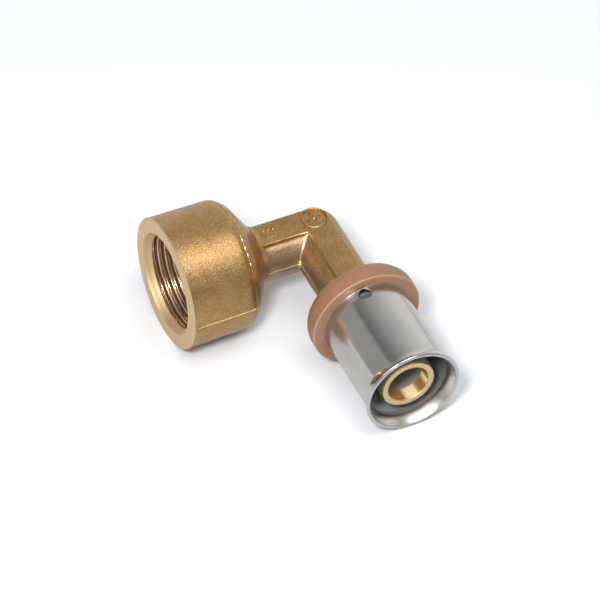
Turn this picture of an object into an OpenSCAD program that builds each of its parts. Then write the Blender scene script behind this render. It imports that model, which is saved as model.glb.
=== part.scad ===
// Press elbow: a forged brass body with a female pipe thread at one end and a nozzle for
// multilayer pipe at the other, a plastic fixing ring, and a steel sleeve for pressing.
// The origin is the middle of the threaded mouth. The mouth faces -X, the nozzle points
// to -Y, and the forging's parting plane is Z = 0.

/* [Pipe] */
// Outside diameter of the multilayer pipe
pipe_d = 20; // [19:0.1:21]
// Wall of the multilayer pipe
pipe_wall = 2.8; // [2.6:0.1:3.2]
// Radial room between the pipe and the nozzle
nozzle_play = 0.1; // [0.05:0.05:0.3]
// Radial room between the pipe and the sleeve before pressing
sleeve_play = 0.45; // [0.35:0.05:0.6]

/* [Threaded socket] */
// Outside diameter at the mouth
socket_d = 33.8; // [33:0.1:38]
// Draft of the socket's side, in degrees
socket_draft = 0.8; // [0:0.1:1.5]
// Straight side, from the mouth to the rounded rear edge
socket_side = 15.7; // [14.5:0.1:17]
// Radius of the rounded rear edge
socket_round = 3.8; // [2:0.1:4.2]
// Slope of the shoulder behind it, from the socket's axis
shoulder_angle = 58; // [54:1:62]
// Width of the chamfer round the outside of the mouth
mouth_edge = 0.3; // [0.1:0.1:0.8]
// Diameter of the lead-in chamfer at the mouth
lead_in_d = 26.2; // [25:0.1:27.4]
// Length of the lead-in chamfer
lead_in = 1.9; // [1:0.1:2.4]
// Diameter over the crests of the female thread
thread_d = 24.12; // [22:0.02:24.5]
// Length of the threaded wall behind the lead-in
thread_len = 14.2; // [12:0.1:14.6]
// From one turn of the thread to the next
thread_pitch = 1.814; // [1.5:0.001:2.4]
// Depth of a turn
thread_depth = 1.16; // [0.8:0.01:1.3]
// Angle between the two sides of a turn, in degrees
thread_angle = 55; // [55:5:60]
// Slope of the thread bore's floor, from its axis
bore_floor_angle = 59; // [52:1:62]

/* [Elbow] */
// From the threaded mouth to the nozzle's axis
socket_reach = 40.2; // [39:0.1:48]
// Diameter of the legs above the parting plane
leg_upper_d = 13.6; // [13.4:0.1:14.2]
// Diameter of the legs below the parting plane
leg_lower_d = 14.6; // [14:0.1:15.4]
// Height of the marking flats above and below the parting plane
flat_h = 6.45; // [6.2:0.05:6.6]
// Width of the marking flats
flat_w = 7.1; // [5:0.1:7.6]
// Diameter of the waterway in the legs
waterway_d = 10; // [8:0.1:10.4]

/* [Nozzle] */
// From the socket's axis to the nozzle's tip
nozzle_reach = 54.1; // [52:0.1:60]
// Bore of the nozzle
nozzle_bore_d = 10.8; // [10.4:0.1:11]
// Depth of the nozzle's bore from its tip
nozzle_bore_len = 29; // [26:0.5:31]
// Length of the taper at the tip
tip_taper_len = 0.8; // [0.3:0.1:1.2]
// How far the taper goes in
tip_taper = 0.15; // [0.05:0.05:0.3]
// Chamfer at the bore's edge
bore_edge = 0.2; // [0.1:0.05:0.4]
// Diameter of the seat that carries the fixing ring
seat_d = 16.8; // [16:0.1:17]
// Diameter of the collars on both sides of that seat
collar_d = 17.8; // [17.4:0.1:18.2]
// Width of the rear collar
rear_collar_w = 0.8; // [0.5:0.1:1.4]
// How far the pipe stop lies behind the ring's front face
stop_set_back = 0.35; // [0.1:0.05:0.8]

/* [Seals] */
// Thickness of an O-ring
seal_t = 1.4; // [1.2:0.1:1.5]
// Depth of an O-ring's groove
groove_depth = 1; // [0.8:0.05:1.1]
// Width of an O-ring's groove
groove_w = 1.8; // [1.7:0.1:2.4]
// Room between an O-ring and the floor of its groove
seal_room = 0.02; // [0.01:0.01:0.1]
// From the nozzle's tip to the middle of the outer groove
seal_set_back = 6; // [5:0.1:8]
// From the outer groove to the inner groove
seal_pitch = 6; // [4:0.1:8]

/* [Fixing ring] */
// From the socket's axis to the ring's front face
ring_reach = 30.35; // [30:0.05:33]
// Length of the ring
ring_len = 7.2; // [7:0.1:7.6]
// Outside diameter at the ring's front
ring_d = 28.7; // [28:0.1:31]
// Radius of the ring's rounded back
ring_round = 4.5; // [3:0.1:4.8]
// Radius of the edge round its front
ring_edge = 0.4; // [0.2:0.1:0.8]
// Depth of the pocket that holds the sleeve's end
pocket_depth = 2.15; // [1.8:0.05:2.4]
// Room between the ring and what it is clipped to
ring_play = 0.1; // [0.05:0.05:0.2]

/* [Press sleeve] */
// Wall of the sleeve
sleeve_wall = 1; // [0.8:0.05:1.2]
// From the socket's axis to the sleeve's mouth
sleeve_reach = 56.8; // [56:0.1:64]
// Length of the flare at the mouth
flare_len = 3.4; // [2.4:0.1:5]
// How far the flare at the mouth opens, on the radius
flare_rise = 1.3; // [0.5:0.05:1.5]
// Curve of that flare, where 1 is a plain cone and more is more like a trumpet
flare_curve = 1.7; // [1:0.1:2.5]
// Length of the flared end that the ring holds
hook_len = 2.9; // [2:0.1:3.4]
// How far that end opens, on the radius
hook_rise = 1.15; // [0.8:0.05:1.3]
// Diameter of the inspection windows
window_d = 3.3; // [2:0.1:4]
// From the ring's front face to a window's middle
window_set_off = 1.6; // [1.6:0.1:3]
// How many windows there are round the sleeve
window_count = 3; // [2:1:4]
// Where the first window is, from the top towards the socket
window_turn = 8.6; // [0:0.1:60]

/* [Hidden] */

$fn = 96;
// Cuts run this far past the faces that they go through
past = 1;
// Points along each flare's curve
flare_steps = 10;

nozzle_r = pipe_d / 2 - pipe_wall - nozzle_play;
nozzle_bore_r = nozzle_bore_d / 2;
sleeve_in_r = pipe_d / 2 + sleeve_play;
sleeve_out_r = sleeve_in_r + sleeve_wall;
waterway_r = waterway_d / 2;

mouth_r = socket_d / 2;
round_start_r = mouth_r - socket_side * tan(socket_draft);
thread_end = lead_in + thread_len;
thread_r = thread_d / 2;
turn_slope = thread_depth * tan(thread_angle / 2);
turn_land = thread_pitch / 2 - turn_slope;
turn_count = floor((thread_len - turn_land) / thread_pitch);

ring_rear = ring_reach - ring_len;
pocket_floor = ring_reach - pocket_depth;
stop_reach = ring_reach - stop_set_back;
hook_start = pocket_floor + ring_play;
sleeve_hook_r = sleeve_out_r + hook_rise;
groove_r = nozzle_r - groove_depth;
seal_in_r = groove_r + seal_room;

// Points of an arc from angle a0 to a1
function arc(centre, r, a0, a1, steps = 10) =
    [for (i = [0 : steps]) let (a = a0 + (a1 - a0) * i / steps) centre + r * [cos(a), sin(a)]];

// How far the sleeve's wall stands out at a reach: both ends of the sleeve are flared
function hook_out(reach) = hook_rise * pow(max(0, 1 - (reach - hook_start) / hook_len), 2);
function flare_out(reach) =
    flare_rise * pow(max(0, 1 - (sleeve_reach - reach) / flare_len), flare_curve);

// Turned shapes: x is the radius, y the way along the axis
module on_socket_axis() {
    rotate([0, 90, 0]) rotate_extrude() children();
}

module on_nozzle_axis() {
    translate([socket_reach, 0, 0]) rotate([90, 0, 0]) rotate_extrude() children();
}

// Outside of the socket: a drafted side, a rounded rear edge and a sloping shoulder
module socket_outside() {
    rear = arc([round_start_r - socket_round, socket_side], socket_round, 0, shoulder_angle);
    edge = rear[len(rear) - 1];
    shoulder_end = edge.y + edge.x / tan(shoulder_angle);
    on_socket_axis() polygon(concat(
        [[0, 0], [mouth_r - mouth_edge, 0], [mouth_r, mouth_edge]],
        rear,
        [[0, shoulder_end]]
    ));
}

// Section of a leg: two half rounds that meet at the parting plane, with a flat on each
module leg_section() {
    difference() {
        union() {
            difference() {
                circle(d = leg_upper_d);
                translate([-leg_lower_d, -leg_lower_d]) square([2 * leg_lower_d, leg_lower_d]);
            }
            difference() {
                circle(d = leg_lower_d);
                translate([-leg_lower_d, 0]) square([2 * leg_lower_d, leg_lower_d]);
            }
            translate([-flat_w / 2, -flat_h]) square([flat_w, 2 * flat_h]);
        }
        for (side = [0, 1]) mirror([0, side])
            translate([-leg_lower_d, flat_h]) square([2 * leg_lower_d, leg_lower_d]);
    }
}

module legs() {
    socket_leg_len = socket_reach - socket_side;
    nozzle_leg_len = ring_rear;
    translate([socket_reach, 0, 0]) {
        rotate([90, 0, -90]) linear_extrude(socket_leg_len) leg_section();
        rotate([90, 0, 0]) linear_extrude(nozzle_leg_len) leg_section();
    }
}

// Rounded outer corner where the legs meet
module corner() {
    translate([socket_reach, 0, 0]) intersection() {
        union() {
            difference() {
                sphere(d = leg_upper_d);
                translate([0, 0, -leg_lower_d / 2]) cube(leg_lower_d * [2, 2, 1], center = true);
            }
            difference() {
                sphere(d = leg_lower_d);
                translate([0, 0, leg_lower_d / 2]) cube(leg_lower_d * [2, 2, 1], center = true);
            }
            cylinder(d = flat_w, h = 2 * flat_h, center = true);
        }
        cube([2 * leg_lower_d, 2 * leg_lower_d, 2 * flat_h], center = true);
    }
}

// Turned end: rear collar, ring seat, front collar as pipe stop, and the nozzle
module nozzle_outside() {
    on_nozzle_axis() polygon([
        [0, ring_rear - ring_play - rear_collar_w],
        [collar_d / 2, ring_rear - ring_play - rear_collar_w],
        [collar_d / 2, ring_rear - ring_play],
        [seat_d / 2, ring_rear - ring_play],
        [seat_d / 2, pocket_floor + ring_play],
        [collar_d / 2, pocket_floor + ring_play],
        [collar_d / 2, stop_reach],
        [nozzle_r, stop_reach],
        [nozzle_r, nozzle_reach - tip_taper_len],
        [nozzle_r - tip_taper, nozzle_reach],
        [0, nozzle_reach]
    ]);
}

// Threaded mouth with its lead-in, down to the waterway
module thread_bore() {
    floor_len = (thread_r - waterway_r) / tan(bore_floor_angle);
    lead_slope = (lead_in_d / 2 - thread_r) / lead_in;
    on_socket_axis() polygon([
        [0, -past],
        [lead_in_d / 2 + past * lead_slope, -past],
        [thread_r, lead_in],
        [thread_r, thread_end],
        [waterway_r, thread_end + floor_len],
        [waterway_r, socket_reach],
        [0, socket_reach]
    ]);
}

// One turn of the thread, as a plain ring groove with sloping sides
module thread_turn(start) {
    on_socket_axis() polygon([
        [thread_r - past, start],
        [thread_r, start],
        [thread_r + thread_depth, start + turn_slope],
        [thread_r + thread_depth, start + turn_slope + turn_land],
        [thread_r, start + 2 * turn_slope + turn_land],
        [thread_r - past, start + 2 * turn_slope + turn_land]
    ]);
}

// Waterway of the nozzle and its leg, with a ball end at the crossing
module nozzle_bore() {
    bore_start = nozzle_reach - nozzle_bore_len;
    on_nozzle_axis() polygon([
        [0, 0],
        [waterway_r, 0],
        [waterway_r, bore_start],
        [nozzle_bore_r, bore_start + (nozzle_bore_r - waterway_r)],
        [nozzle_bore_r, nozzle_reach - bore_edge],
        [nozzle_bore_r + bore_edge + past, nozzle_reach + past],
        [0, nozzle_reach + past]
    ]);
    translate([socket_reach, 0, 0]) sphere(r = waterway_r);
}

module seal_groove(set_back) {
    on_nozzle_axis() translate([groove_r, nozzle_reach - set_back - groove_w / 2])
        square([groove_depth + past, groove_w]);
}

module brass_body() {
    color("#a98452") difference() {
        union() {
            socket_outside();
            legs();
            corner();
            nozzle_outside();
        }
        thread_bore();
        for (i = [0 : turn_count - 1])
            thread_turn(lead_in + turn_land + i * thread_pitch);
        nozzle_bore();
        seal_groove(seal_set_back);
        seal_groove(seal_set_back + seal_pitch);
    }
}

// Plastic ring: clipped on the seat, with an undercut pocket that holds the sleeve's end
module fixing_ring() {
    ring_r = ring_d / 2;
    bore_r = seat_d / 2 + ring_play;
    mouth_in_r = sleeve_out_r + hook_out(ring_reach) + ring_play;
    pocket_r = sleeve_hook_r + ring_play;
    color("#b4714a") on_nozzle_axis() difference() {
        polygon(concat(
            [[bore_r, ring_rear]],
            arc([ring_r - ring_round, ring_rear + ring_round], ring_round, -90, 0),
            arc([ring_r - ring_edge, ring_reach - ring_edge], ring_edge, 0, 90, 4),
            [[bore_r, ring_reach]]
        ));
        polygon([
            [bore_r - past, pocket_floor],
            [pocket_r, pocket_floor],
            [pocket_r, hook_start + ring_play],
            [mouth_in_r, ring_reach],
            [mouth_in_r, ring_reach + past],
            [bore_r - past, ring_reach + past]
        ]);
    }
}

// Steel sleeve: flared at the mouth and at the end that the ring holds, with windows
module press_sleeve() {
    flare_start = sleeve_reach - flare_len;
    lip_r = sleeve_wall / 2;
    lip_end = sleeve_reach - lip_r;
    hook = [for (i = [0 : flare_steps]) hook_start + hook_len * i / flare_steps];
    mouth = [for (i = [0 : flare_steps]) flare_start + (flare_len - lip_r) * i / flare_steps];
    stations = concat(hook, mouth);
    last = len(stations) - 1;
    function wall_r(reach) = sleeve_in_r + hook_out(reach) + flare_out(reach);
    color("#a3a3a6") difference() {
        on_nozzle_axis() polygon(concat(
            [for (i = [0 : last]) [wall_r(stations[i]) + sleeve_wall, stations[i]]],
            arc([wall_r(lip_end) + lip_r, lip_end], lip_r, 0, 180),
            [for (i = [last : -1 : 0]) [wall_r(stations[i]), stations[i]]]
        ));
        for (i = [0 : window_count - 1])
            translate([socket_reach, -ring_reach - window_set_off, 0])
                rotate([0, -window_turn - i * 360 / window_count, 0])
                    cylinder(d = window_d, h = 2 * sleeve_out_r);
    }
}

module o_ring(set_back) {
    color("#20262a") on_nozzle_axis()
        translate([seal_in_r + seal_t / 2, nozzle_reach - set_back]) circle(d = seal_t);
}

module o_ring_outer() {
    o_ring(seal_set_back);
}

module o_ring_inner() {
    o_ring(seal_set_back + seal_pitch);
}

brass_body();
fixing_ring();
press_sleeve();
o_ring_outer();
o_ring_inner();
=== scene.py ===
"""Looks of a press elbow: a forged brass body, a plastic fixing ring and a steel press sleeve.

The frame is the CAD model's. The threaded mouth faces -X with its middle at the origin, the
nozzle points to -Y, and Z = 0 is the parting plane of the forging. Sizes are in millimetres
until a mesh is finished, and then it is scaled to metres.
"""

import logging
from dataclasses import dataclass, field
from enum import Enum, IntEnum
from functools import partialmethod
from math import acos, asin, atan2, cos, degrees, exp, hypot, pi, radians, sin, sqrt, tan, tau
from typing import Iterable, Sequence

import bmesh
import bpy
from bmesh.types import BMEdge, BMesh, BMFace, BMVert
from bpy.types import Material, Object
from mathutils import Matrix, Quaternion, Vector, noise


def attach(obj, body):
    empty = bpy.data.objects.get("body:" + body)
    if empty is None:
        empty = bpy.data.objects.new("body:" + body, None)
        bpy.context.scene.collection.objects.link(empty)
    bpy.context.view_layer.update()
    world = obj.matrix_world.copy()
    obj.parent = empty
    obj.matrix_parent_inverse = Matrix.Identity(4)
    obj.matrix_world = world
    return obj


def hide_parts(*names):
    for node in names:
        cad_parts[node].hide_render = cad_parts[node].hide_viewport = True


log = logging.getLogger("press_elbow")
logging.basicConfig(level=logging.INFO, format="%(name)s: %(message)s")

MM = 0.001
NEAR = 1e-3

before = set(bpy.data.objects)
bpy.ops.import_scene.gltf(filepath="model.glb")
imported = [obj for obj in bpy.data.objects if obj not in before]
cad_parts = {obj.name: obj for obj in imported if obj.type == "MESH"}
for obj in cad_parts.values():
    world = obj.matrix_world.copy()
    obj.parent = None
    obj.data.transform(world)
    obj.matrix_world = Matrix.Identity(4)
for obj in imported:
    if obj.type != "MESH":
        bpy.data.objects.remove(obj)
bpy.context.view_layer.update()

Point2 = tuple[float, float]
Point3 = tuple[float, float, float]
Colour = tuple[float, float, float, float]


class Axis(Enum):
    """The two axes that the turned shapes share."""

    SOCKET = "socket"
    NOZZLE = "nozzle"


class Skin(IntEnum):
    """Finishes of the body's faces, in slot order. The drilled floor has the lead-in's."""

    FORGED = 0
    MOUTH = 1
    THREAD = 2
    WATERWAY = 3
    NOZZLE = 4
    FLASH = 5
    LEAD_IN = 6


# ---- shader maths


class Value:
    """A number socket of a node tree that takes part in plain arithmetic."""

    def __init__(self, tree: "Tree", socket: bpy.types.NodeSocket) -> None:
        """Keeps the tree and the output socket."""
        self.tree = tree
        self.socket = socket

    def _math(self, kind: str, other: "Value | float", swapped: bool = False) -> "Value":
        """The result of a Math node; swapped where the operands change places."""
        pair = (other, self) if swapped else (self, other)
        return self.tree.node("ShaderNodeMath", {0: pair[0], 1: pair[1]}, operation=kind)

    __add__ = partialmethod(_math, "ADD")
    __radd__ = partialmethod(_math, "ADD", swapped=True)
    __sub__ = partialmethod(_math, "SUBTRACT")
    __rsub__ = partialmethod(_math, "SUBTRACT", swapped=True)
    __mul__ = partialmethod(_math, "MULTIPLY")
    __truediv__ = partialmethod(_math, "DIVIDE")
    __pow__ = partialmethod(_math, "POWER")
    angle_over = partialmethod(_math, "ARCTAN2")

    def ramp(self, low: float, high: float, start: float = 0.0, end: float = 1.0) -> "Value":
        """A soft step between two values, from one result to another."""
        return self.tree.node(
            "ShaderNodeMapRange",
            {"Value": self, "From Min": low, "From Max": high, "To Min": start, "To Max": end},
            interpolation_type="SMOOTHSTEP",
        )


class Tree:
    """A material's or world's node tree, written as expressions."""

    def __init__(self, owner: Material | bpy.types.World) -> None:
        """Turns nodes on and clears them.

        Args:
            owner: The material or world.
        """
        owner.use_nodes = True
        self.nodes = owner.node_tree.nodes
        self.links = owner.node_tree.links
        self.nodes.clear()

    def node(
        self,
        kind: str,
        inputs: dict[str | int, object] | None = None,
        out: str | int = 0,
        **settings: object,
    ) -> Value:
        """Adds a node.

        Args:
            kind: The node's type.
            inputs: Values or links by input name or number.
            out: The output that is returned.
            **settings: The node's own properties.

        Returns:
            The chosen output.
        """
        made = self.nodes.new(kind)
        for name, value in settings.items():
            setattr(made, name, value)
        for key, value in (inputs or {}).items():
            if isinstance(value, Value):
                self.links.new(value.socket, made.inputs[key])
            else:
                made.inputs[key].default_value = value
        return Value(self, made.outputs[out])

    def place(self) -> Value:
        """Object coordinates in millimetres."""
        raw = self.node("ShaderNodeTexCoord", out="Object")
        return self.node("ShaderNodeMapping", {"Vector": raw, "Scale": (1 / MM,) * 3})

    def join(self, x: Value, y: Value | float = 0.0, z: Value | float = 0.0) -> Value:
        """A vector from its three parts."""
        return self.node("ShaderNodeCombineXYZ", {0: x, 1: y, 2: z})

    def split(self, vector: Value) -> tuple[Value, Value, Value]:
        """The three parts of a vector."""
        parts = self.node("ShaderNodeSeparateXYZ", {0: vector}).socket.node
        return tuple(Value(self, s) for s in parts.outputs)

    def path(self, kind: str) -> Value:
        """One of the Light Path node's answers."""
        return self.node("ShaderNodeLightPath", out=kind)

    def grain(self, where: Value, scale: float, detail: float = 2.0, rough: float = 0.5) -> Value:
        """Noise about 0.5, with the scale in features per unit and the detail in octaves."""
        return self.node(
            "ShaderNodeTexNoise",
            {"Vector": where, "Scale": scale, "Detail": detail, "Roughness": rough},
        )

    def mix(self, share: Value | float, first: object, second: object) -> Value:
        """A colour between two colours."""
        return self.node("ShaderNodeMix", {0: share, 6: first, 7: second}, 2, data_type="RGBA")

    def blend(self, share: Value, first: Value, second: Value) -> Value:
        """A shader between two shaders."""
        return self.node("ShaderNodeMixShader", {0: share, 1: first, 2: second})

    def bump(self, height: Value, depth_mm: float, under: Value | None = None) -> Value:
        """A bumped normal.

        Args:
            height: Height from 0 to 1.
            depth_mm: What a height of 1 stands for, in millimetres.
            under: A normal that this one is laid over.

        Returns:
            The normal.
        """
        inputs = {"Height": height, "Distance": depth_mm * MM, "Strength": 1.0}
        if under is not None:
            inputs["Normal"] = under
        return self.node("ShaderNodeBump", inputs)

    def surface(self, **inputs: object) -> None:
        """Ends a material with a Principled shader; underscores in names stand for spaces."""
        named = {k.replace("_", " "): v for k, v in inputs.items()}
        shader = self.node("ShaderNodeBsdfPrincipled", named, out="BSDF")
        self.node_output(shader)

    def node_output(self, shader: Value, kind: str = "ShaderNodeOutputMaterial") -> None:
        """Links a shader to the output."""
        end = self.nodes.new(kind)
        self.links.new(shader.socket, end.inputs["Surface"])


def new_material(name: str) -> tuple[Material, Tree]:
    """A named material with an empty tree."""
    material = bpy.data.materials.new(name)
    return material, Tree(material)


def rgb(red: float, green: float, blue: float, level: float = 1.0) -> Colour:
    """An opaque linear colour at a level."""
    return (level * red, level * green, level * blue, 1.0)


WHITE = rgb(1.0, 1.0, 1.0)


@dataclass(frozen=True)
class ForgedBrass:
    """Forging skin, blasted and pickled: fine bright grain, greyer in the inner corner."""

    deep: Colour = rgb(0.325, 0.192, 0.080)
    bright: Colour = rgb(0.580, 0.366, 0.153)
    grey_deep: Colour = rgb(0.355, 0.262, 0.178)
    grey_bright: Colour = rgb(0.575, 0.445, 0.315)
    roughness: float = 0.34

    def material(self) -> Material:
        """Builds the finish.

        Returns:
            The material.
        """
        made, t = new_material("forged_skin")
        where = t.place()
        x, y, z = t.split(where)
        fine = t.grain(where, 2.6, 2.0, 0.65)
        patch = t.grain(where, 0.30, 3.0, 0.55)
        uneven = t.grain(where, 0.9, 2.0, 0.5)
        tone = fine.ramp(0.34, 0.68) * 0.65 + patch.ramp(0.3, 0.7) * 0.30
        colour = t.mix(tone, self.deep, self.bright)
        inner = x.ramp(18.8, 20.5) * x.ramp(39.2, 37.0) * y.ramp(-0.5, -3.0)
        inner = inner * z.ramp(6.42, 5.90, 0.0, 0.28) + inner * z.ramp(5.2, 2.8, 0.0, 0.60)
        colour = t.mix(inner, colour, t.mix(tone, self.grey_deep, self.grey_bright))
        rough = self.roughness + (patch - 0.5) * 0.10 + (fine - 0.5) * 0.24 + inner * 0.10
        normal = t.bump(uneven, 0.035)
        normal = t.bump(fine, 0.085, normal)
        t.surface(Base_Color=colour, Metallic=1.0, Roughness=rough, Normal=normal)
        return made


@dataclass(frozen=True)
class TurnedBrass:
    """Machined brass: fine rings left by the tool around one of the axes."""

    name: str
    axis: Axis
    base: Colour = rgb(0.72, 0.53, 0.28)
    roughness: float = 0.24
    ring_mm: float = 0.16
    depth_mm: float = 0.0035
    # shade: colour of a painted shade between shade_from and shade_to, where the turned surface
    # lies in shadow
    shade: Colour | None = None
    shade_from: float = 0.0
    shade_to: float = 0.0
    # The next two: a painted dark reflection round the axis, and the angles of the bright lanes
    # that it leaves out
    streak: Colour | None = None
    lanes: tuple[Point2, ...] = ()
    metal: float = 1.0

    def material(self) -> Material:
        """Builds the finish: a painted shade darkens it between two reaches, and a painted dark
        reflection lies outside its bright lanes.

        Returns:
            The material.
        """
        made, t = new_material(self.name)
        where = t.place()
        x, y, z = t.split(where)
        side, along = (y, x) if self.axis is Axis.SOCKET else (x - ELBOW.socket_reach, y)
        radius = (side * side + z * z) ** 0.5
        turns = (radius + along * 0.8) / self.ring_mm
        rings = t.grain(t.join(turns), 1.0, 3.0, 0.6)
        patch = t.grain(where, 0.5, 2.0)
        colour = t.mix(rings.ramp(0.2, 0.8), rgb(*self.base[:3], 0.88), self.base)
        rough = self.roughness + (rings - 0.5) * 0.08 + (patch - 0.5) * 0.08
        metal: Value | float = self.metal
        # Painted reflection: dark streaks round the bore outside the bright lanes
        if self.streak is not None:
            spoke = t.join(side / radius, 0.0, z / radius)
            around = z.angle_over(side) * degrees(1.0) + (t.grain(spoke, 3.0) - 0.5) * 24.0
            worn: Value | float = 1.0
            for low, high in self.lanes:
                worn = worn - around.ramp(low - 7, low + 7) * around.ramp(high + 7, high - 7)
            colour = t.mix(worn, colour, self.streak)
        # Painted shade between the two reaches: darker, rougher and less metallic
        if self.shade is not None:
            dull = y.ramp(-self.shade_from - 0.12, -self.shade_from + 0.12)
            dull = dull * y.ramp(-self.shade_to + 0.2, -self.shade_to - 0.2)
            colour = t.mix(dull, colour, self.shade)
            rough = rough + dull * 0.25
            metal = self.metal - dull * (self.metal - 0.1)
        normal = t.bump(rings, self.depth_mm)
        t.surface(Base_Color=colour, Metallic=metal, Roughness=rough, Normal=normal)
        return made


@dataclass(frozen=True)
class RingPlastic:
    """Satin moulded plastic, terracotta brown, with painted light: paler on its front and a
    painted highlight on the edge round it.
    """

    base: Colour = rgb(0.238, 0.116, 0.061)
    pale: Colour = rgb(0.272, 0.137, 0.075)
    # front is painted light on the front face, edge a painted highlight on the edge round
    front: Colour = rgb(0.335, 0.173, 0.094)
    edge: Colour = rgb(0.44, 0.25, 0.155)
    roughness: float = 0.42

    def material(self) -> Material:
        """Builds the finish.

        Returns:
            The material.
        """
        made, t = new_material("terracotta_plastic")
        where = t.place()
        patch = t.grain(where, 0.25, 2.0)
        fine = t.grain(where, 4.0, 2.0)
        colour = t.mix(patch.ramp(0.3, 0.7), self.base, self.pale)
        x, y, z = t.split(where)
        # Painted light: the front face is paler
        colour = t.mix(y.ramp(-29.95, -30.30), colour, self.front)
        side = x - ELBOW.socket_reach
        # Painted highlight on the edge round at the front
        rim = ((side * side + z * z) ** 0.5).ramp(13.90, 14.04) * y.ramp(-29.94, -30.06)
        colour = t.mix(rim * 0.55, colour, self.edge)
        rough = self.roughness + (patch - 0.5) * 0.1
        normal = t.bump(fine, 0.010)
        t.surface(Base_Color=colour, Roughness=rough, Normal=normal)
        return made


@dataclass(frozen=True)
class SleeveSteel:
    """Bright annealed stainless steel with the faint lines of drawing along its axis."""

    name: str = "annealed_steel"
    base: Colour = rgb(0.555, 0.542, 0.525)
    roughness: float = 0.15

    def material(self) -> Material:
        """Builds the finish.

        Returns:
            The material.
        """
        made, t = new_material(self.name)
        where = t.place()
        x, y, z = t.split(where)
        drawn = t.grain(t.join(x, y * 0.06, z), 3.0, 3.0, 0.6)
        haze = t.grain(where, 0.22, 2.0)
        colour = t.mix(haze.ramp(0.3, 0.7), rgb(*self.base[:3], 0.93), self.base)
        rough = self.roughness + (drawn - 0.5) * 0.04 + (haze - 0.5) * 0.04
        # Stays under 0.27: past it the denoiser takes steel for a matt surface, and a line shows
        rough = rough + y.ramp(-40.0, -31.0) * 0.075
        normal = t.bump(drawn * y.ramp(-34.0, -38.0), 0.004)
        t.surface(Base_Color=colour, Metallic=1.0, Roughness=rough, Normal=normal)
        return made


@dataclass(frozen=True)
class SleeveBore:
    """Bore of the sleeve in painted shade: dark grey-teal, with painted light towards the socket's
    side and a brown painted reflection beside the flare.
    """

    # The dark grey-teal is painted shade of the bore in the gap round the nozzle
    base: Colour = rgb(0.150, 0.200, 0.190)
    thin: Colour = rgb(0.40, 0.50, 0.475)
    band: Colour = rgb(0.205, 0.160, 0.135)

    def material(self) -> Material:
        """Builds the finish.

        Returns:
            The material.
        """
        made, t = new_material("sleeve_bore_painted_shade")
        where = t.place()
        patch = t.grain(where, 0.6, 2.0)
        x, y, _ = t.split(where)
        # Painted light: lighter towards the socket's side, where the nozzle shades the bore
        film = (x - ELBOW.socket_reach).ramp(4.0, -7.5) + (patch - 0.5) * 0.15
        colour = t.mix(film, self.base, self.thin)
        # Painted reflection of the brass nozzle: browner beside the flare
        colour = t.mix(y.ramp(-51.9, -52.9), colour, self.band)
        t.surface(
            Base_Color=colour, Metallic=0.15, Roughness=0.55 + (patch - 0.5) * 0.1,
            Normal=t.bump(patch, 0.004),
        )
        return made


@dataclass(frozen=True)
class SealRubber:
    """Smooth dark rubber."""

    base: Colour = rgb(0.02, 0.024, 0.024)

    def material(self) -> Material:
        """Builds the finish.

        Returns:
            The material.
        """
        made, t = new_material("dark_rubber")
        patch = t.grain(t.place(), 2.0, 2.0)
        rough = 0.42 + (patch - 0.5) * 0.2
        t.surface(Base_Color=self.base, Roughness=rough, Normal=t.bump(patch, 0.004))
        return made


# ---- mesh helpers


Row = tuple[list[BMVert], list[BMEdge]]


def chain(bm: BMesh, points: Iterable[Sequence[float]], close: bool = False) -> Row:
    """A line of vertices joined by edges, from places in millimetres."""
    verts = [bm.verts.new(p) for p in points]
    return verts, [bm.edges.new(pair) for pair in zip(verts, verts[1:] + verts[:close])]


def extrude_row(bm: BMesh, row: Row, points: Iterable[Sequence[float]]) -> Row:
    """Extrudes a line of edges.

    Args:
        bm: The mesh.
        row: Vertices and edges of the line.
        points: Places of the new vertices.

    Returns:
        The new line's vertices and edges.
    """
    old, edges = row
    fresh = set(bmesh.ops.extrude_edge_only(bm, edges=edges)["geom"])
    verts = [next(o for e in v.link_edges if (o := e.other_vert(v)) in fresh) for v in old]
    for vert, point in zip(verts, points):
        vert.co = point
    ends = verts[1:] + (verts[:1] if len(edges) == len(verts) else [])
    return verts, [bm.edges.get(pair) for pair in zip(verts, ends)]


def spin(
    bm: BMesh, points: Iterable[Sequence[float]], centre: Sequence[float], line: Point3, steps: int
) -> None:
    """Spins a closed line all the way round.

    Args:
        bm: The mesh.
        points: Places on the line.
        centre: A point on the axis.
        line: The axis's direction.
        steps: Segments round the axis.
    """
    verts, edges = chain(bm, points, close=True)
    bmesh.ops.spin(
        bm, geom=verts + edges, cent=centre, axis=line, angle=tau, steps=steps, use_merge=True
    )


def turn(bm: BMesh, axis: Axis, profile: Sequence[Point2], steps: int) -> list[BMFace]:
    """Spins a profile all the way round one of the axes.

    Args:
        bm: The mesh.
        axis: The axis to turn about.
        profile: Closed loop of pairs of reach along the axis and radius.
        steps: Segments round the axis.

    Returns:
        The new faces.
    """
    before = set(bm.faces)
    if axis is Axis.SOCKET:
        points = [(reach, -radius, 0.0) for reach, radius in profile]
        centre, line = (0, 0, 0), (1, 0, 0)
    else:
        points = [(ELBOW.socket_reach - radius, -reach, 0.0) for reach, radius in profile]
        centre, line = (ELBOW.socket_reach, 0, 0), (0, 1, 0)
    spin(bm, points, centre, line, steps)
    return [f for f in bm.faces if f not in before]


def arc(centre: Point2, radius: float, start: float, end: float, steps: int) -> list[Point2]:
    """Points of an arc, angles in degrees from the first coordinate's direction."""
    turns = [radians(a) for a in span(start, end, steps)]
    return [(centre[0] + radius * cos(a), centre[1] + radius * sin(a)) for a in turns]


def span(start: float, end: float, steps: int) -> list[float]:
    """Evenly spaced numbers, with both ends."""
    return [start + (end - start) * i / steps for i in range(steps + 1)]


def ease(share: float) -> float:
    """A soft step from 0 to 1."""
    share = min(1.0, max(0.0, share))
    return share * share * (3 - 2 * share)


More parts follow.
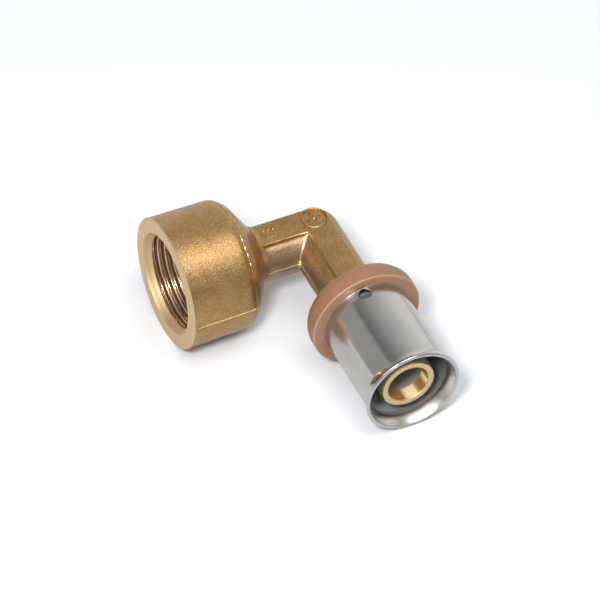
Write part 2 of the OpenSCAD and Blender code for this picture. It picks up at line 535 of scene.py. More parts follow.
def weld(bm: BMesh) -> None:
    """Merges vertices that lie on each other."""
    bmesh.ops.remove_doubles(bm, verts=bm.verts[:], dist=1e-4)


def bevel(bm: BMesh, edges: Sequence[BMEdge], offset: float, segments: int) -> list[BMFace]:
    """Rounds edges and returns the new faces."""
    return bmesh.ops.bevel(
        bm, geom=edges, affect="EDGES", offset=offset, segments=segments, profile=0.5,
        material=-1, offset_type="OFFSET", clamp_overlap=True,
    )["faces"]


def from_parting(vert: BMVert) -> float:
    """Angle of a vertex from the parting plane, seen along the socket's axis, in degrees."""
    return degrees(atan2(abs(vert.co.z), abs(vert.co.y)))


def set_radius(vert: BMVert, radius: float) -> None:
    """Moves a vertex straight away from the socket's axis, or towards it, to a radius."""
    grow = radius / hypot(vert.co.y, vert.co.z)
    vert.co.y, vert.co.z = vert.co.y * grow, vert.co.z * grow


def to_mesh(bm: BMesh, name: str) -> bpy.types.Mesh:
    """Scales a mesh to metres and frees its editing data.

    Args:
        bm: The mesh, in millimetres.
        name: Its name.

    Returns:
        The mesh.
    """
    bmesh.ops.scale(bm, vec=(MM, MM, MM), verts=bm.verts[:])
    mesh = bpy.data.meshes.new(name)
    bm.to_mesh(mesh)
    bm.free()
    return mesh


def place(name: str, data: bpy.types.ID) -> Object:
    """Puts a new object into the scene.

    Args:
        name: Its name.
        data: Its mesh, light or camera.

    Returns:
        The object.
    """
    made = bpy.data.objects.new(name, data)
    bpy.context.scene.collection.objects.link(made)
    return made


def finish_mesh(
    bm: BMesh,
    name: str,
    materials: Sequence[Material],
    sharp: float = 34.0,
    soft: int = -1,
) -> Object:
    """Closes a mesh, smooths it up to an angle, scales it to metres and makes its object.

    Args:
        bm: The mesh, in millimetres.
        name: Name of the piece.
        materials: Its material slots.
        sharp: Edges with a larger angle stay sharp, in degrees.
        soft: Slot whose faces are smooth at any angle.

    Returns:
        The object, riding on the root body.
    """
    weld(bm)
    bmesh.ops.recalc_face_normals(bm, faces=bm.faces[:])
    limit = radians(sharp)
    for face in bm.faces:
        face.smooth = True
    for edge in bm.edges:
        flowing = all(f.material_index == soft for f in edge.link_faces)
        edge.smooth = len(edge.link_faces) == 2 and (flowing or edge.calc_face_angle() < limit)
    open_edges = sum(1 for e in bm.edges if len(e.link_faces) != 2)
    mesh = to_mesh(bm, name)
    made = place(name, mesh)
    for material in materials:
        mesh.materials.append(material)
    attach(made, "root")
    log.info("%s: %d faces, %d open edges", name, len(mesh.polygons), open_edges)
    return made


# ---- the body


@dataclass
class Elbow:
    """Forged body: threaded socket, shoulder, two legs, ring seat and nozzle."""

    socket_reach: float = 40.2
    mouth_r: float = 16.89
    socket_draft: float = 0.8
    socket_side: float = 15.7
    socket_round: float = 3.8
    shoulder_angle: float = 58.0
    ridge_x: float = 17.3
    mouth_edge: float = 0.3
    mouth_inner_r: float = 13.6
    lead_in_r: float = 13.1
    lead_in: float = 1.9
    relief: Point2 = (0.75, 1.05)
    relief_depth: float = 0.07
    thread_r: float = 12.06
    thread_pitch: float = 1.814
    thread_depth: float = 1.1
    thread_end: float = 16.1
    thread_rows: int = 150
    bore_floor_angle: float = 59.0
    drill_r: float = 5.03
    drill_x: float = 24.6
    die_inner_r: float = 14.0
    die_depth: float = 0.15
    die_fade: float = 7.0
    leg_upper_r: float = 6.8
    leg_lower_r: float = 7.3
    flat_h: float = 6.45
    flat_half: float = 3.55
    waterway_r: float = 5.0
    neck_steps: int = 7
    neck_sunk: float = 1.2
    leg_rows: tuple[float, ...] = (26.4, 27.6, 28.8, 30.0, 31.2)
    water_rows: Point2 = (22.5, 28.0)
    end_rows: tuple[float, ...] = (10.0, 13.0, 16.5, 20.0, 23.1)
    corner_steps: int = 12
    crease_round: float = 0.4
    bead_r: float = 0.6
    ridge_r: float = 0.18
    ridge_segments: int = 300
    flash_steps: int = 96
    flash_sunk: float = 0.12
    flash_half: float = 0.17
    mark_r: float = 3.2
    mark_line: float = 0.30
    spokes: int = 8
    spoke_at: float = 1.75
    neck_fillet: float = 3.0
    seat_r: float = 8.4
    collar_r: float = 8.9
    collar_rear: float = 22.25
    seat_rear: float = 23.05
    seat_front: float = 28.3
    pipe_stop: float = 30.0
    nozzle_r: float = 7.1
    nozzle_reach: float = 54.1
    nozzle_bore_r: float = 5.4
    nozzle_bore_len: float = 29.0
    groove_r: float = 6.1
    groove_half: float = 0.9
    grooves: tuple[float, float] = (48.1, 42.1)
    segments: int = 168
    socket_segments: int = 320
    finishes: list[Material] = field(default_factory=list)

    @property
    def side_end_r(self) -> float:
        """Radius where the socket's drafted side ends."""
        return self.mouth_r - self.socket_side * tan(radians(self.socket_draft))

    def cone_r(self, x: float) -> float:
        """Radius of the shoulder's cone at a place along the socket's axis."""
        return (self.cone_x(0.0) - x) * tan(radians(self.shoulder_angle))

    def cone_x(self, radius: float) -> float:
        """Where the shoulder's cone has a radius, along the socket's axis."""
        a, r, end = radians(self.shoulder_angle), self.socket_round, self.side_end_r
        return self.socket_side + r * sin(a) + (end - r * (1 - cos(a)) - radius) / tan(a)

    def socket(self, bm: BMesh) -> None:
        """Spins the socket: its outside, shoulder, mouth face, threaded wall and floor.

        Args:
            bm: The mesh that takes it.
        """
        start = self.side_end_r
        rear = [
            (self.socket_side, start), (15.95, start - 0.03), (16.2, start - 0.09),
            (16.5, start - 0.19), (16.85, start - 0.34), (17.1, start - 0.46),
            (self.ridge_x - 0.10, start - 0.53), (self.ridge_x - 0.03, start - 0.49),
            (self.ridge_x + 0.05, start - 0.52), (self.ridge_x + 0.14, start - 0.64),
            (17.7, start - 0.88), (18.1, start - 1.20), (18.5, start - 1.50),
            (18.92, self.cone_r(18.92)),
        ]
        side = list(zip(
            span(self.mouth_edge, self.socket_side, 14), span(self.mouth_r, start, 14)
        ))[:-1]
        cone = [(self.cone_x(r), r) for r in (13.0, 11.0, 9.0, 7.4, 6.4)]
        floor_x = self.thread_end + (self.thread_r - self.drill_r) / tan(
            radians(self.bore_floor_angle)
        )
        wall = [(x, self.thread_r) for x in span(self.thread_end, 0.0, self.thread_rows)[:-1]]
        face = [(0.0, r) for r in (self.lead_in_r, 14.6, 15.8, self.mouth_r - self.mouth_edge)]
        floor = [(self.drill_x, self.drill_r), (floor_x, self.drill_r)]
        profile = face + side + rear + cone + floor + wall
        faces = turn(bm, Axis.SOCKET, profile, self.socket_segments)
        self.cut_thread(faces)
        self.part_dies(faces)
        for made in faces:
            self.paint(made)

    def part_dies(self, faces: list[BMFace]) -> None:
        """Draws the forged outside in beside the parting plane, as the dies' draft does.

        Args:
            faces: The socket's faces.
        """
        for vert in {v for f in faces for v in f.verts}:
            radius = hypot(vert.co.y, vert.co.z)
            if radius < self.die_inner_r or vert.co.x < self.mouth_edge - NEAR:
                continue
            away = from_parting(vert)
            drawn = (1 - exp(-away / self.die_fade)) * (1 - ease((away - 20.0) / 60.0))
            set_radius(vert, radius - self.die_depth * drawn * ease((vert.co.x - 0.2) / 1.5))

    def paint(self, face: BMFace) -> None:
        """Gives a face of the socket its finish by where it lies.

        Args:
            face: The face.
        """
        middle = face.calc_center_median()
        radius = hypot(middle.y, middle.z)
        if middle.x < self.mouth_edge * 0.9 and radius > self.lead_in_r:
            face.material_index = Skin.MOUTH
        elif middle.x < self.thread_end and radius < self.mouth_inner_r:
            turned = middle.x < self.lead_in
            face.material_index = Skin.LEAD_IN if turned else Skin.THREAD
        elif radius < self.thread_r and middle.x < self.cone_x(radius) - 1.0:
            face.material_index = Skin.LEAD_IN

    def cut_thread(self, faces: list[BMFace]) -> None:
        """Moves the wall's vertices outwards into a right-handed thread and its lead-in.

        Args:
            faces: The socket's faces.
        """
        slope = (self.lead_in_r - self.thread_r) / self.lead_in
        for vert in {v for f in faces for v in f.verts}:
            radius = hypot(vert.co.y, vert.co.z)
            if abs(radius - self.thread_r) > NEAR or vert.co.x > self.thread_end - NEAR:
                continue
            around = atan2(vert.co.z, vert.co.y) / tau
            phase = (vert.co.x / self.thread_pitch + around) % 1.0
            depth = self.thread_depth * (0.5 - 0.5 * cos(tau * phase))
            depth *= ease((vert.co.x - self.lead_in) / 0.7)
            depth *= ease((self.thread_end - vert.co.x) / 1.6)
            cone = self.lead_in_r - slope * vert.co.x
            if self.relief[0] < vert.co.x < self.relief[1]:
                cone += self.relief_depth
            set_radius(vert, max(self.thread_r + depth, cone))

    def leg_section(self) -> list[Point2]:
        """Draws the section of a leg, from the outer parting point over the top.

        Returns:
            Side and height of each point.
        """
        up, low = self.leg_upper_r, self.leg_lower_r
        edge = self.flat_half
        step = [
            (edge + 0.95, sqrt(up ** 2 - (edge + 0.95) ** 2)),
            (edge + 0.50, 5.36), (edge + 0.22, 5.56), (edge + 0.07, 5.82), (edge, 6.10),
            (edge - 0.05, 6.28), (edge - 0.17, 6.40), (edge - 0.36, self.flat_h),
        ]
        rise = degrees(acos((edge + 0.95) / up))
        side = arc((0, 0), up, 0.0, rise, 9)[:-1]
        quarter = side + step
        top = quarter + [(0.0, self.flat_h)] + [(-u, z) for u, z in reversed(quarter)]
        cut = sqrt(low ** 2 - self.flat_h ** 2)
        drop = degrees(asin(self.flat_h / low))
        curve = arc((0, 0), low, 4.0, drop, 10)
        ledge = [(low - 0.14, 0.0), (low - 0.03, -0.10)] + [(u, -z) for u, z in curve]
        ledge += [(cut - 1.6, -self.flat_h)]
        under = ledge + [(0.0, -self.flat_h)] + [(-u, z) for u, z in reversed(ledge)]
        return top + list(reversed(under))

    def neck_at(self, p: Point2, angle: float, sunk: float = 0.0) -> Point3:
        """Places a point of a section in the fillet that blends the leg into the shoulder.

        Args:
            p: Side and height of the point.
            angle: Turn of the fillet, in radians.
            sunk: How far the place is pushed into the socket.

        Returns:
            The place.
        """
        radius, fillet = hypot(*p), self.neck_fillet
        lean = radians(self.shoulder_angle / 2)
        x = self.cone_x(radius) + fillet * tan(lean) - fillet * sin(angle)
        grow = 1 + fillet * (1 - cos(angle)) / radius
        return (x - sunk, p[0] * grow, p[1] * grow)

    def corner_at(self, p: Point2, turned: float) -> Point3:
        """Place of a point of a section in the turn of the corner."""
        over, out = (sin(turned), cos(turned)) if p[0] > 0 else (1.0, 1.0)
        return (self.socket_reach + p[0] * over, p[0] * out, p[1])

    def leg_path(
        self, bm: BMesh, section: Sequence[Point2], neck: bool
    ) -> tuple[list[BMEdge], list[BMEdge]]:
        """Extrudes a section from the shoulder, round the corner and down the other leg.

        Args:
            bm: The mesh that takes it.
            section: Side and height of each point.
            neck: True where the start flares into the shoulder.

        Returns:
            The edges at each open end.
        """
        rows: list[list[Point3]] = []
        if neck:
            full = radians(self.shoulder_angle)
            rows.append([self.neck_at(p, full, self.neck_sunk) for p in section])
            for angle in span(full, 0.0, self.neck_steps):
                rows.append([self.neck_at(p, angle) for p in section])
        for x in self.leg_rows if neck else self.water_rows:
            rows.append([(x, *p) for p in section])
        for turned in span(0.0, pi / 2, self.corner_steps):
            rows.append([self.corner_at(p, turned) for p in section])
        for reach in self.end_rows:
            rows.append([(self.socket_reach + side, -reach, high) for side, high in section])
        first = row = chain(bm, rows[0], close=True)
        for points in rows[1:]:
            row = extrude_row(bm, row, points)
        return first[1], row[1]

    def legs(self, bm: BMesh) -> None:
        """Makes both legs with their waterway, and rounds the crease of the inner corner.

        Args:
            bm: The mesh that takes them.
        """
        outer = self.leg_path(bm, self.leg_section(), neck=True)
        water = arc((0, 0), self.waterway_r, 0.0, 360.0, 48)[:-1]
        for ends in zip(outer, self.leg_path(bm, water, neck=False)):
            bmesh.ops.bridge_loops(bm, edges=ends[0] + ends[1])
        weld(bm)
        crease = [
            e for e in bm.edges
            if all(
                abs(v.co.y - (v.co.x - self.socket_reach)) < NEAR
                and v.co.y < -1.5
                and hypot(v.co.y, v.co.z) > self.waterway_r + 0.6
                and v.co.z < 6.2
                for v in e.verts
            )
        ]
        rounded = bevel(bm, crease, self.crease_round, 3)
        corner = self.leg_upper_r - 0.1
        at_corner = Matrix.Translation((self.socket_reach - corner, -corner, 0.0))
        bead = bmesh.ops.create_uvsphere(
            bm, u_segments=16, v_segments=10, radius=self.bead_r, matrix=at_corner
        )["verts"]
        for face in [*rounded, *{f for v in bead for f in v.link_faces}]:
            if face.calc_center_median().z > -1.0:
                face.material_index = Skin.FLASH

    def ridge(self, bm: BMesh) -> None:
        """Lays the uneven raised line where the side of the socket meets its shoulder.

        Args:
            bm: The mesh that takes it.
        """
        start = self.side_end_r
        middle = (self.ridge_x, start - 0.60)
        section = arc(middle, self.ridge_r, 0.0, 360.0, 8)[:-1]
        faces = turn(bm, Axis.SOCKET, section, self.ridge_segments)
        for vert in bm.verts:
            radius = hypot(vert.co.y, vert.co.z)
            spot = Vector((vert.co.y, vert.co.z, 0.0)) * (14.0 / radius)
            size = min(1.3, max(0.25, 0.7 + 1.5 * noise.noise(spot)))
            size *= 0.15 + 0.85 * ease((from_parting(vert) - 28.0) / 20.0)
            vert.co.x = middle[0] + (vert.co.x - middle[0]) * size
            set_radius(vert, middle[1] + (radius - middle[1]) * size)
        self.part_dies(faces)
        for face in faces:
            face.material_index = Skin.FLASH

    def nozzle(self, bm: BMesh) -> None:
        """Spins the machined end: collars, ring seat, seal grooves, tip and bore.

        Args:
            bm: The mesh that takes it.
        """
        c, s, n, e = self.collar_r, self.seat_r, self.nozzle_r, 0.12
        rear, back, front, stop = self.collar_rear, self.seat_rear, self.seat_front, self.pipe_stop
        tip = self.nozzle_reach
        bore = self.nozzle_bore_r
        profile: list[Point2] = [
            (rear, self.drill_r), (rear, c - 0.2), (rear + 0.2, c), (back - 0.1, c),
            (back, c - 0.1), (back, s), (front, s), (front, c - e), (front + e, c),
            (stop - e, c), (stop, c - e), (stop, n),
        ]
        for groove in sorted(self.grooves):
            g, r = self.groove_half, self.groove_r
            profile += [
                (groove - g - 0.1, n), (groove - g, n - 0.1), (groove - g, r),
                (groove + g, r), (groove + g, n - 0.1), (groove + g + 0.1, n),
            ]
        profile += [
            (tip - 1.3, n), (tip - 0.8, n - 0.03), (tip - 0.25, n - 0.13),
            (tip - 0.06, n - 0.24), (tip, n - 0.38), (tip, bore + 0.30),
            (tip - 0.05, bore + 0.14), (tip - 0.2, bore + 0.02), (tip - 0.4, bore),
            (tip - self.nozzle_bore_len, bore), (tip - self.nozzle_bore_len - 0.37, self.drill_r),
        ]
        for face in turn(bm, Axis.NOZZLE, profile, self.segments):
            middle = face.calc_center_median()
            radius = hypot(middle.x - self.socket_reach, middle.z)
            inside = radius < bore + 0.01 and middle.y > -tip + 0.3
            face.material_index = Skin.WATERWAY if inside else Skin.NOZZLE

    def flash(self, bm: BMesh) -> None:
        """Lays the trimmed flash on the parting plane, round both sides of the socket.

        Args:
            bm: The mesh that takes it.
        """
        start = self.side_end_r
        count = self.flash_steps
        for side in (-1.0, 1.0):
            rail: list[tuple[float, float, float, float]] = []
            for i in range(count + 1):
                x = 1.0 + (self.socket_side + 1.2 - 1.0) * i / count
                if x <= self.socket_side:
                    r = self.mouth_r + (start - self.mouth_r) * x / self.socket_side
                else:
                    over = x - self.socket_side
                    r = start - self.socket_round + sqrt(self.socket_round ** 2 - over ** 2)
                rough = noise.noise(Vector((x * 2.3, side * 7.0, 0.0)))
                swing = 0.09 * noise.noise(Vector((x * 0.9, side * 3.0, 5.0)))
                height = max(-0.02, 0.07 + 0.22 * rough) * ease((x - 1.0) / 0.8)
                rail.append((x, r, min(height, self.mouth_r - r - 0.005), swing))
            sunk = [(x, side * (r - self.flash_sunk), w) for x, r, h, w in rail]
            half = self.flash_half
            first = row = chain(bm, [(x, y, w - half) for x, y, w in sunk])
            for across, lift in ((-0.09, 0.75), (0.0, 1.0), (0.09, 0.75)):
                row = extrude_row(
                    bm, row, [(x, side * (r + h * lift), w + across) for x, r, h, w in rail]
                )
            row = extrude_row(bm, row, [(x, y, w + half) for x, y, w in sunk])
            bmesh.ops.bridge_loops(bm, edges=first[1] + row[1])
            open_edges = [e for e in bm.edges if len(e.link_faces) == 1]
            bmesh.ops.holes_fill(bm, edges=open_edges, sides=12)
        for face in bm.faces:
            face.material_index = Skin.FLASH

    def marks(self, bm: BMesh) -> None:
        """Raises plain forging marks on the pad: a ring with spokes, and two rows of pips.

        Args:
            bm: The mesh that takes them.
        """
        top = self.flat_h
        middle = Vector((self.socket_reach - 0.1, 0.05, top))
        self.raised_ring(bm, middle)
        self.raised_pip(bm, middle, 0.62)
        for i in range(self.spokes):
            self.raised_bar(bm, middle, tau * i / self.spokes + 0.2)
        for i in range(3):
            self.raised_pip(bm, Vector((26.6 + 1.35 * i, 0.9, top)), 0.50)
            self.raised_pip(bm, Vector((26.9 + 1.15 * i, -1.35, top)), 0.34)

    def raised_ring(self, bm: BMesh, middle: Vector) -> None:
        """Adds a low round-topped ring on the pad.

        Args:
            bm: The mesh that takes it.
            middle: Its middle, on the pad.
        """
        r, half = self.mark_r, self.mark_line
        section = [
            (r - half, -0.1), (r - half * 0.75, half * 0.6), (r, half),
            (r + half * 0.75, half * 0.6), (r + half, -0.1),
        ]
        points = [middle + Vector((away, 0.0, up)) for away, up in section]
        spin(bm, points, middle, (0, 0, 1), 48)

    @staticmethod
    def raised_pip(bm: BMesh, spot: Vector, radius: float) -> None:
        """A small round pip on the pad."""
        where = Matrix.Translation(spot) @ Matrix.Diagonal((1, 1, 0.65, 1))
        bmesh.ops.create_uvsphere(bm, u_segments=12, v_segments=8, radius=radius, matrix=where)

    def raised_bar(self, bm: BMesh, middle: Vector, turned: float) -> None:
        """Adds a short spoke on the pad, with soft edges.

        Args:
            bm: The mesh that takes it.
            middle: Point that the spoke points at.
            turned: Its direction, in radians.
        """
        where = Matrix.Translation(middle) @ Matrix.Rotation(turned, 4, "Z")
        where = where @ Matrix.Translation((self.spoke_at, 0, 0))
        where = where @ Matrix.Diagonal((1.0, 0.42, 0.5, 1))
        made = bmesh.ops.create_cube(bm, size=1.0, matrix=where)
        bevel(bm, list({e for v in made["verts"] for e in v.link_edges}), 0.12, 2)

    def build(self) -> Object:
        """Makes the whole body and puts it in place of its CAD node.

        Returns:
            The body.
        """
        whole = bmesh.new()
        for part in (self.socket, self.legs, self.nozzle, self.flash, self.ridge, self.marks):
            piece = bmesh.new()
            part(piece)
            weld(piece)
            bmesh.ops.recalc_face_normals(piece, faces=piece.faces[:])
            scratch = bpy.data.meshes.new("scratch")
            piece.to_mesh(scratch)
            piece.free()
            whole.from_mesh(scratch)
            bpy.data.meshes.remove(scratch)
        body = finish_mesh(whole, "elbow_body", self.finishes, soft=Skin.THREAD)
        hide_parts("brass_body")
        return body


ELBOW = Elbow()


# ---- the sleeve


@dataclass
class PressSleeve:
    """Steel sleeve: a tube with a flared mouth, a flared held end and round windows."""

    in_r: float = 10.45
    wall: float = 1.0
    reach: float = 56.8
    flare_len: float = 3.4
    flare_rise: float = 1.3
    flare_curve: float = 1.7
    hook_start: float = 28.3
    hook_len: float = 2.9
    hook_rise: float = 1.15
    window_r: float = 1.65
    window_at: float = 31.95
    window_turn: float = 8.6
    window_edge: float = 0.12
    window_step: float = 0.22
    window_clear: float = 0.42
    windows: int = 3
    bore_end: float = 53.6
    lip_at: Point2 = (30.32, 11.54)
    lip_r: float = 0.1
    segments: int = 192

    def wall_r(self, reach: float) -> float:
        """Finds the wall's inner radius.

        Args:
            reach: Distance from the socket's axis.

        Returns:
            The radius there.
        """
        hook = max(0.0, 1 - (reach - self.hook_start) / self.hook_len) ** 2
        flare = max(0.0, 1 - (self.reach - reach) / self.flare_len) ** self.flare_curve
        return self.in_r + self.hook_rise * hook + self.flare_rise * flare

    def unroll(self, spot: Vector, turned: float) -> Point3:
        """Measures a point from the middle of a window.

        Args:
            spot: The point.
            turned: Where the window is, in degrees from the top towards the socket.

        Returns:
            Its radius, its angle from the window in radians, and its reach before the window.
        """
        x, z = spot.x - ELBOW.socket_reach, spot.z
        a = radians(turned)
        angle = atan2(x * cos(a) + z * sin(a), z * cos(a) - x * sin(a))
        return hypot(x, z), angle, spot.y + self.window_at

    def pierce(self, bm: BMesh, turned: float) -> None:
        """Opens one window through both skins of the wall.

        Args:
            bm: The sleeve's mesh.
            turned: Where the window is, in degrees from the top towards the socket.
        """
        a = radians(turned)
        half = self.window_r + self.window_clear
        loops = []
        for skin_r, edge in ((self.in_r + self.wall, self.window_edge), (self.in_r, 0.0)):
            doomed = []
            for face in bm.faces:
                radius, angle, v = self.unroll(face.calc_center_median(), turned)
                if abs(radius - skin_r) < 0.45 and max(abs(skin_r * angle), abs(v)) < half:
                    doomed.append(face)
            bmesh.ops.delete(bm, geom=doomed, context="FACES")
            rim = []
            for line in (e for e in bm.edges if len(e.link_faces) == 1):
                radius, angle, v = self.unroll(line.verts[0].co, turned)
                if abs(radius - skin_r) < 0.3 and abs(angle) < pi / 2 and abs(v) < 3.0:
                    rim.append(line)
            for step, sink in ((self.window_step, 0.0), (edge, 0.0), (0.0, edge)):
                size, level = self.window_r + step, skin_r - sink
                made = bmesh.ops.extrude_edge_only(bm, edges=rim)["geom"]
                for vert in (g for g in made if isinstance(g, BMVert)):
                    radius, angle, v = self.unroll(vert.co, turned)
                    around = atan2(v, radius * angle)
                    by = size * cos(around) / skin_r - a
                    y = size * sin(around) - self.window_at
                    vert.co = (ELBOW.socket_reach + level * sin(by), y, level * cos(by))
                rim = [g for g in made if isinstance(g, BMEdge) and len(g.link_faces) == 1]
            loops.append(rim)
        bmesh.ops.bridge_loops(bm, edges=loops[0] + loops[1])

    def build(self, finishes: Sequence[Material]) -> Object:
        """Spins the wall, opens the windows and replaces the CAD node.

        Args:
            finishes: Finishes of the outside, the bore and the inside of the flare.

        Returns:
            The sleeve.
        """
        lip = self.wall / 2
        lip_end = self.reach - lip
        hook = span(self.hook_start, self.hook_start + self.hook_len, 14)
        window = span(self.window_at - 1.9, self.window_at + 1.9, 10)
        straight = [35.5, 40.0, 44.0, 48.0, 51.0]
        mouth = span(self.reach - self.flare_len, lip_end, 16)
        reaches = sorted({round(r, 4) for r in [*hook[:10], *window, *straight, *mouth]})
        outer = [(r, self.wall_r(r) + self.wall) for r in reaches]
        inner = [(r, self.wall_r(r)) for r in reversed(reaches)]
        middle = self.wall_r(lip_end) + lip
        cap = arc((lip_end, middle), lip, 90.0, -90.0, 10)[1:-1]
        bm = bmesh.new()
        turn(bm, Axis.NOZZLE, outer + cap + inner, self.segments)
        weld(bm)
        for i in range(self.windows):
            self.pierce(bm, self.window_turn + 360.0 * i / self.windows)
        for face in bm.faces:
            p = face.calc_center_median()
            radius = hypot(p.x - ELBOW.socket_reach, p.z)
            if radius < self.in_r + 0.05 and p.y > -self.bore_end:
                face.material_index = 1
            elif p.y < -self.bore_end and radius < self.wall_r(-p.y) + 0.1:
                face.material_index = 2
        turn(bm, Axis.NOZZLE, arc(self.lip_at, self.lip_r, 0, 360, 16)[:-1], self.segments)
        sleeve = finish_mesh(bm, "sleeve_tube", finishes, 30.0)
        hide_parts("press_sleeve")
        return sleeve


# ---- the ring


@dataclass
class FixingRing:
    """Moulded ring: round-backed, clipped on the seat, with an undercut for the sleeve."""

    rear: float = 23.15
    front: float = 30.35
    outer_r: float = 14.345
    back_round: float = 4.5
    edge: float = 0.4
    bore_r: float = 8.5
    pocket_r: float = 12.7
    pocket_floor: float = 28.2
    mouth_r: float = 11.65
    segments: int = 192

    def build(self, finish: Material) -> Object:
        """Spins the ring and replaces the CAD node.

        Args:
            finish: The plastic.

        Returns:
            The ring.
        """
        back, edge = self.back_round, self.edge
        back_r, edge_r = self.outer_r - back, self.outer_r - edge
        profile: list[Point2] = [
            (self.rear + 0.12, self.bore_r), (self.rear + 0.04, self.bore_r + 0.04),
            (self.rear, self.bore_r + 0.12), (self.rear, back_r - 0.12),
            *arc((self.rear + back, back_r), back, 180.0, 90.0, 28),
            (self.rear + back + 0.2, self.outer_r), (self.front - edge - 0.1, self.outer_r),
            *arc((self.front - edge, edge_r), edge, 90.0, 0.0, 8),
            (self.front, edge_r - 0.1), (self.front, self.mouth_r + 0.18),
            (self.front - 0.03, self.mouth_r + 0.06), (self.front - 0.12, self.mouth_r),
            (self.pocket_floor + 0.2, self.pocket_r), (self.pocket_floor, self.pocket_r),
            (self.pocket_floor, self.bore_r),
        ]
        bm = bmesh.new()
        turn(bm, Axis.NOZZLE, profile, self.segments)
        ring = finish_mesh(bm, "moulded_ring", [finish])
        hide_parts("fixing_ring")
        return ring


# ---- CAD nodes


def dress(node: str, material: Material) -> None:
    """Gives a carried-over CAD node its finish.

    Args:
        node: Name of the node.
        material: Its finish.
    """
    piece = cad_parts[node]
    piece.data.materials.clear()
    piece.data.materials.append(material)
    log.info("%s: CAD node dressed as %s", node, material.name)


# ---- studio


@dataclass(frozen=True)
class Panel:
    """A soft round light: its direction from the part, half its angle and its brightness."""

    name: str
    towards: Point3
    half_angle: float
    radiance: float
    distance: float = 620.0

    def hang(self, middle: Vector) -> None:
        """Hangs the light so that it faces the part.

        Args:
            middle: Middle of the part.
        """
        data = bpy.data.lights.new(self.name, "AREA")
        data.shape = "DISK"
        radius = self.distance * tan(radians(self.half_angle)) * MM
        data.size = 2 * radius
        data.energy = self.radiance * pi * pi * radius ** 2
        made = place(self.name, data)
        aim = Vector(self.towards).normalized()
        made.location = (middle + aim * self.distance) * MM
        made.rotation_mode = "QUATERNION"
        made.rotation_quaternion = (-aim).to_track_quat("-Z", "Y")


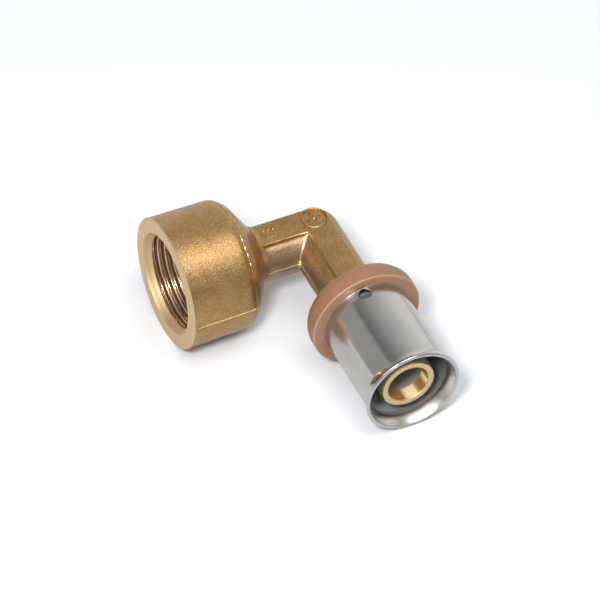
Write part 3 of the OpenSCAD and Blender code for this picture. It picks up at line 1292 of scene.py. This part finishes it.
@dataclass
class Studio:
    """Camera of the photograph, tilted pale floor, soft lights and a plain sky."""

    camera_at: Point3 = (-863.013, -1766.713, 2109.186)
    camera_turn: tuple[float, float, float, float] = (
        0.90936736, 0.35396181, -0.09305058, -0.19778464,
    )
    lens: float = 706.4293
    floor_normal: Point3 = (-0.0143, 0.0695, 0.9975)
    floor_drop: float = 16.905
    floor_radius: float = 330.0
    middle: Point3 = (28.0, -22.0, 0.0)
    front_wall: float = 0.52
    ceiling: float = 0.78
    panels: tuple[Panel, ...] = (
        Panel("key_panel", (0.10, -0.28, 0.95), 17.0, 3.5),
        Panel("side_panel", (-0.65, -0.15, 0.74), 18.0, 1.2),
        Panel("front_panel", (-0.394, -0.461, 0.795), 5.5, 78.0),
    )

    def camera(self) -> None:
        """Sets the camera where the photograph was taken from."""
        data = bpy.data.cameras.new("camera")
        data.sensor_width = 36.0
        data.lens = self.lens
        data.clip_start, data.clip_end = 0.1, 20.0
        made = place("camera", data)
        made.location = Vector(self.camera_at) * MM
        made.rotation_mode = "QUATERNION"
        made.rotation_quaternion = Quaternion(self.camera_turn)
        bpy.context.scene.camera = made

    def floor(self) -> None:
        """Makes the plane that the part lies on. It fades to white and has no underside."""
        up = Vector(self.floor_normal).normalized()
        spot = Vector((self.middle[0], self.middle[1], 0.0))
        spot += up * (-self.floor_drop - up.dot(spot))
        where = Matrix.Translation(spot) @ up.to_track_quat("Z", "Y").to_matrix().to_4x4()
        bm = bmesh.new()
        bmesh.ops.create_circle(
            bm, cap_ends=True, segments=96, radius=self.floor_radius, matrix=where
        )
        mesh = to_mesh(bm, "studio_floor")
        made = place("studio_floor", mesh)
        mesh.materials.append(self.floor_material(spot))

    @staticmethod
    def floor_material(spot: Vector) -> Material:
        """Matt white that keeps the shadow and fades into the white background.

        Args:
            spot: Middle of the floor.

        Returns:
            The material.
        """
        made, t = new_material("studio_floor")
        x, y, _ = t.split(t.place())
        dx, dy = x - spot.x, y - spot.y
        away = (dx * dx + dy * dy) ** 0.5
        matt = t.node("ShaderNodeBsdfDiffuse", {"Color": rgb(0.77, 0.79, 0.82)})
        dim = t.node("ShaderNodeBsdfDiffuse", {"Color": rgb(0.60, 0.61, 0.62)})
        white = t.node("ShaderNodeEmission", {"Color": WHITE, "Strength": 1.0})
        clear = t.node("ShaderNodeBsdfTransparent", {"Color": WHITE})
        under = t.node("ShaderNodeNewGeometry", out="Backfacing")
        far = away.ramp(110.0, 260.0) * t.path("Is Camera Ray")
        # Glossy rays see a dimmer grey floor: painted shade on the floor as the metal reflects it
        paper = t.blend(t.path("Is Glossy Ray"), matt, dim)
        shade = t.blend(far, paper, white)
        t.node_output(t.blend(under, shade, clear))
        return made

    def sky(self) -> None:
        """A plain studio sky: walls of soft grey light, white to the camera alone."""
        world = bpy.data.worlds.new("studio_sky")
        bpy.context.scene.world = world
        t = Tree(world)
        x, y, z = t.split(t.node("ShaderNodeTexCoord", out="Generated"))
        round_y = z.angle_over(x)
        rear = 1.0 - round_y.ramp(0.15, 2.35) * 0.80 + round_y.ramp(2.12, 2.24) * 0.27
        wall = self.front_wall + (rear - self.front_wall) * y.ramp(-0.10, 0.35)
        top = z.ramp(0.80, 0.95)
        level = wall + (self.ceiling - wall) * top
        sky = t.node("ShaderNodeBackground", {"Color": WHITE, "Strength": level})
        white = t.node("ShaderNodeBackground", {"Color": WHITE, "Strength": 1.0})
        shade = t.blend(t.path("Is Camera Ray"), sky, white)
        t.node_output(shade, "ShaderNodeOutputWorld")

    def build(self) -> None:
        """Sets the whole studio."""
        self.camera()
        self.floor()
        self.sky()
        for panel in self.panels:
            panel.hang(Vector(self.middle))
        bpy.context.scene.view_settings.view_transform = "Standard"


def main() -> None:
    """Builds the studio and dresses the part."""
    Studio().build()
    # The grey below is painted shade: deep in the waterway past 50.4 mm, and on the nozzle's side
    # inside the sleeve
    film = rgb(0.26, 0.275, 0.265)
    nozzle = Axis.NOZZLE
    # The brown is a painted dark reflection in the waterway, outside the bright gold lanes listed
    # next
    gold, brown = rgb(1.0, 0.84, 0.50), rgb(0.36, 0.165, 0.045)
    lanes = ((-92.0, -58.0), (-26.0, -10.0), (60.0, 110.0), (150.0, 165.0))
    ELBOW.finishes = [
        ForgedBrass().material(),
        TurnedBrass("turned_mouth", Axis.SOCKET, rgb(0.75, 0.555, 0.31), 0.42).material(),
        TurnedBrass("cut_thread", Axis.SOCKET, rgb(0.75, 0.57, 0.42), 0.235, 0.4, 0.0).material(),
        TurnedBrass(
            "waterway", nozzle, gold, 0.50, 0.3, 0.002, film, 50.4,
            streak=brown, lanes=lanes, metal=0.2,
        ).material(),
        TurnedBrass(
            "turned_nozzle", nozzle, rgb(0.76, 0.57, 0.29), 0.40, 0.2, 0.0035, film, 53.5, 28.1
        ).material(),
        TurnedBrass("trimmed_flash", Axis.SOCKET, rgb(0.80, 0.60, 0.31), 0.33).material(),
        TurnedBrass("lead_in", Axis.SOCKET, rgb(0.69, 0.515, 0.29), 0.57, metal=0.92).material(),
    ]
    ELBOW.build()
    flare = SleeveSteel("flared_steel", rgb(0.55, 0.54, 0.53), 0.33)
    PressSleeve().build([SleeveSteel().material(), SleeveBore().material(), flare.material()])
    FixingRing().build(RingPlastic().material())
    rubber = SealRubber().material()
    for seal in ("o_ring_outer", "o_ring_inner"):
        dress(seal, rubber)


if __name__ == "__main__":
    main()
